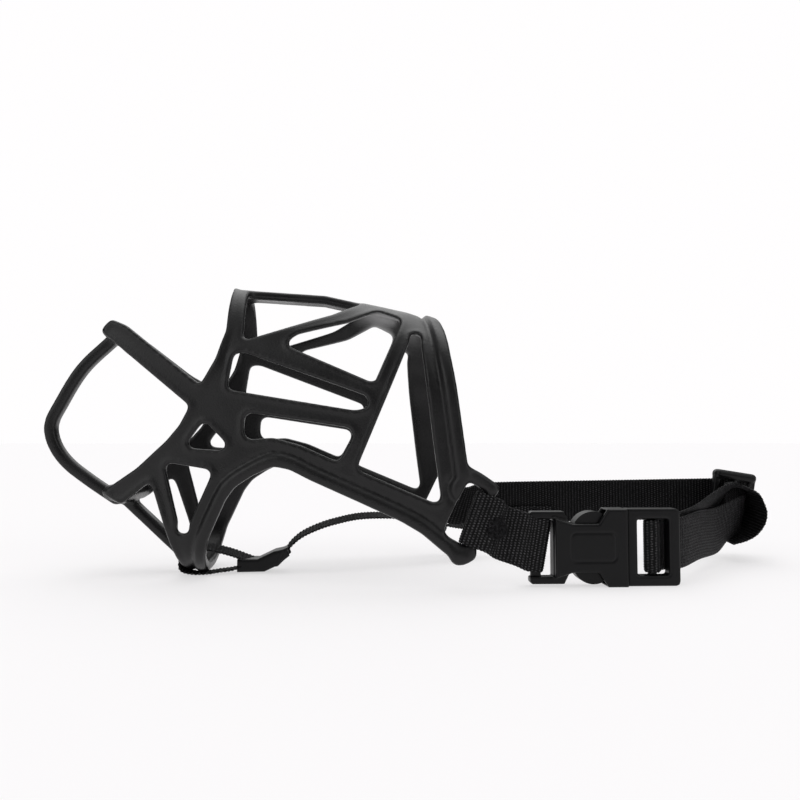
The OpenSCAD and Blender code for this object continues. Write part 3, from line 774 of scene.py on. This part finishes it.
def socket_object(material):
    pitch = BUCKLE_PITCH
    xs, ys, zs, x, y, z = fine_grid(37, 86.5, 7.4, -20, 20, pitch)
    up = np.abs(z)
    body = outline_distance(x, up, ((50, -1), (50, 14), (58.2, 11.4), (70.4, 11.4), (75, 18.2), (SEAM_X, 18.2),
                                    (SEAM_X, -1)))
    rails = outline_distance(x, up, ((38.6, -1), (38.6, 16), (39.6, 17), (54.8, 17), (57.6, 11.4), (57.6, -1)))
    form = smooth_min(plate(body, y, 6.0, 1.1), plate(rails, y, 3.0, 0.8), 1.2)
    form = smooth_max(form, -plate(box2(x, z, 44, 49.6, -13.4, 13.4, 0.8), y, THROUGH, 0.1), 0.7)
    form = smooth_max(form, -plate(box2(x, z, 30, 39.2, -13.4, 13.4), y, THROUGH, 0.1), 0.7)
    bar_only = plate(box2(x, z, 30, 44.5, -13.4, 13.4), y, THROUGH, 0.1)
    form = smooth_max(form, np.minimum(-bar_only, np.abs(y) - 1.5), 0.7)
    mouth = np.minimum(box2(x, up, 59, 90, -1, 12), box2(x, up, 69.8, 90, -1, 17.3))
    form = smooth_max(form, -plate(mouth, y, 3.8, 0.2), 0.5)
    panel = box2(x, z, 57.5, 78.6, -6.2, 7.2, 2.4)[:, None, :]
    form = form + 0.32 * step(-np.abs(panel), -0.75, -0.15) * (np.abs(y) > 4)
    made = field_object("socket_body", form, (xs[0], BUCKLE_Y + ys[0], BUCKLE_Z + zs[0]), pitch, material)
    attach(made, "strap")
    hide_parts("buckle_socket")


def plug_object(material):
    pitch = BUCKLE_PITCH
    xs, ys, zs, x, y, z = fine_grid(62.5, 112, 4.8, -20, 20, pitch)
    outer = outline_distance(x, np.abs(z), ((SEAM_X + 0.3, -1), (SEAM_X + 0.3, 18.2), (108.2, 18.2), (109.7, 17.6),
                                            (110.2, 16), (110.2, -1)))
    form = plate(outer, y, 3.5, 1.0)
    hole = box2(x, z, 89.8, 104.8, -13.2, 13.2, 1.2)
    form = smooth_max(form, -plate(hole, y, THROUGH, 0.1), 1.6)
    rod = np.maximum(np.hypot(x[:, None, :] - PLUG_BAR_X, y - 0.4) - BAR_R, (np.abs(z) - 13.6)[:, None, :])
    form = smooth_min(form, rod, 0.8)
    tongue = plate(box2(x, z, 64, SEAM_X + 0.8, -3.5, 3.5, 1.0), y, 2.0, 0.5)
    form = smooth_min(form, tongue, 0.4)
    made = field_object("plug_body", form, (xs[0], BUCKLE_Y + ys[0], BUCKLE_Z + zs[0]), pitch, material)
    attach(made, "plug")
    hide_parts("buckle_plug")


def strap_slider_object(material):
    """Tri-glide slider with a heavy rim and a toothed side, hanging a little askew"""
    pitch = SLIDER_PITCH
    xs, ys, zs, x, y, z = fine_grid(-14.5, 14.5, 4.6, -20, 20, pitch)
    form = plate(box2(x, z, -12.5, 12.5, -18.5, 18.5, 2.4), y, 2.2, 1.0)
    form = smooth_min(form, plate(box2(x, np.abs(z), -12.5, 12.5, 13.4, 18.5, 2.4), y, 3.8, 2.3), 0.8)
    form = smooth_max(form, -plate(box2(x, z, -9.0, 9.0, -13.2, 13.2, 1.0), y, THROUGH, 0.1), 1.2)
    rod = np.maximum(np.hypot(x[:, None, :], y) - BAR_R, (np.abs(z) - 15)[:, None, :])
    form = smooth_min(form, rod, 0.8)
    for tooth in range(-5, 6, 2):
        bump = np.sqrt((x[:, None, :] - 8.9) ** 2 + (y + 1.4) ** 2 + (z[:, None, :] - 2.35 * tooth) ** 2) - 1.25
        form = smooth_min(form, bump, 0.5)
    made = field_object("slider_body", form, (xs[0], ys[0], zs[0]), pitch, material)
    hangs_at = (Vector(SLIDER) - Vector((0, 0, 1.3))) * MM
    made.data.transform(Matrix.Translation(hangs_at) @ Matrix.Rotation(SLIDER_ASKEW, 4, "Y"))
    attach(made, "slider")
    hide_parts("strap_slider")


CHIN_SLEEVE = ((-104.1, 7.2), (-93.5, 7.2), (-85, 11.2), (-78.3, 12.6), (-76.9, 8.8), (-83.5, 3.7), (-90, 0.7),
               (-104.1, 0.5))
CHIN_SLEEVE_LINE = ((-106, 3.9), (-92, 3.9), (-83, 7.6), (-75, 12.2))


def chin_slider_object(material):
    """Curved sleeve over both strands of the chin strap"""
    pitch = SLIDER_PITCH
    xs, ys, zs, x, y, z = fine_grid(-106.5, -75, 8.6, -1.5, 15, pitch)
    form = plate(outline_distance(x, z, CHIN_SLEEVE), y, 7.0, 1.3)
    bore = plate(line_distance(x, z, CHIN_SLEEVE_LINE) - 2.0, y, 5.3, 0.3)
    form = smooth_max(form, -bore, 0.6)
    form = form - 0.5 * np.clip(1 - np.abs((x - 0.45 * z) + 84.5) / 1.6, 0, 1)[:, None, :]
    made = field_object("chin_slider_body", form, (xs[0], CHIN_SLIDER[1] + ys[0], zs[0]), pitch, material)
    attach(made, "chin_slider")
    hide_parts("chin_strap_slider")


def finish_node(name, material, bevel):
    """A CAD node shown as it is, with its own material and small bevels"""
    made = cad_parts[name]
    made.data.materials.clear()
    made.data.materials.append(material)
    flat = made.modifiers.new("flat", "DECIMATE")
    flat.decimate_type, flat.angle_limit = "DISSOLVE", math.radians(3)
    soft = made.modifiers.new("soft", "BEVEL")
    soft.width, soft.segments, soft.limit_method = bevel * MM, 3, "ANGLE"
    soft.angle_limit = math.radians(35)
    soft.harden_normals = False
    made.data.shade_smooth()


add_camera()
add_stage()
rubber, plastic, thread = rubber_material(), plastic_material(), thread_material()
# the last value is the colour of the bead tops, a painted highlight
ribbed = webbing_material("ribbed_webbing", 0.0, (0.085, 0.084, 0.088))
# a darker copy of the ribbed webbing: painted shade on the strap on the far side
shaded_far_ribbed = webbing_material("far_webbing", 0.0, (0.05, 0.049, 0.052))
twilled = webbing_material("twilled_webbing", 0.5, (0.065, 0.063, 0.067))
basket_object(rubber)
buckle_strap(ribbed)
neck_strap_far(shaded_far_ribbed)
neck_strap_lead(twilled, ribbed)
chin_strap(ribbed)
socket_object(plastic)
plug_object(plastic)
strap_slider_object(plastic)
chin_slider_object(plastic)
for part in ("upper_prong", "lower_prong"):
    finish_node(part, plastic, 0.5)
thread_object("buckle_strap_stitches", sewn_patch((21.6, -58.2, 28), 4.7, 13), 0.3, thread, "strap",
              "buckle_strap_stitching")
thread_object("neck_strap_stitches", zigzag((42, 20), (42, 41), 4, 9, FAR_Y - 3.4), 0.3, thread, "strap",
              "neck_strap_stitching")
thread_object("chin_strap_stitches", zigzag((66, 20), (66, 28), 5, 5, FAR_Y - 2.9), 0.3, thread, "strap",
              "chin_strap_stitching")
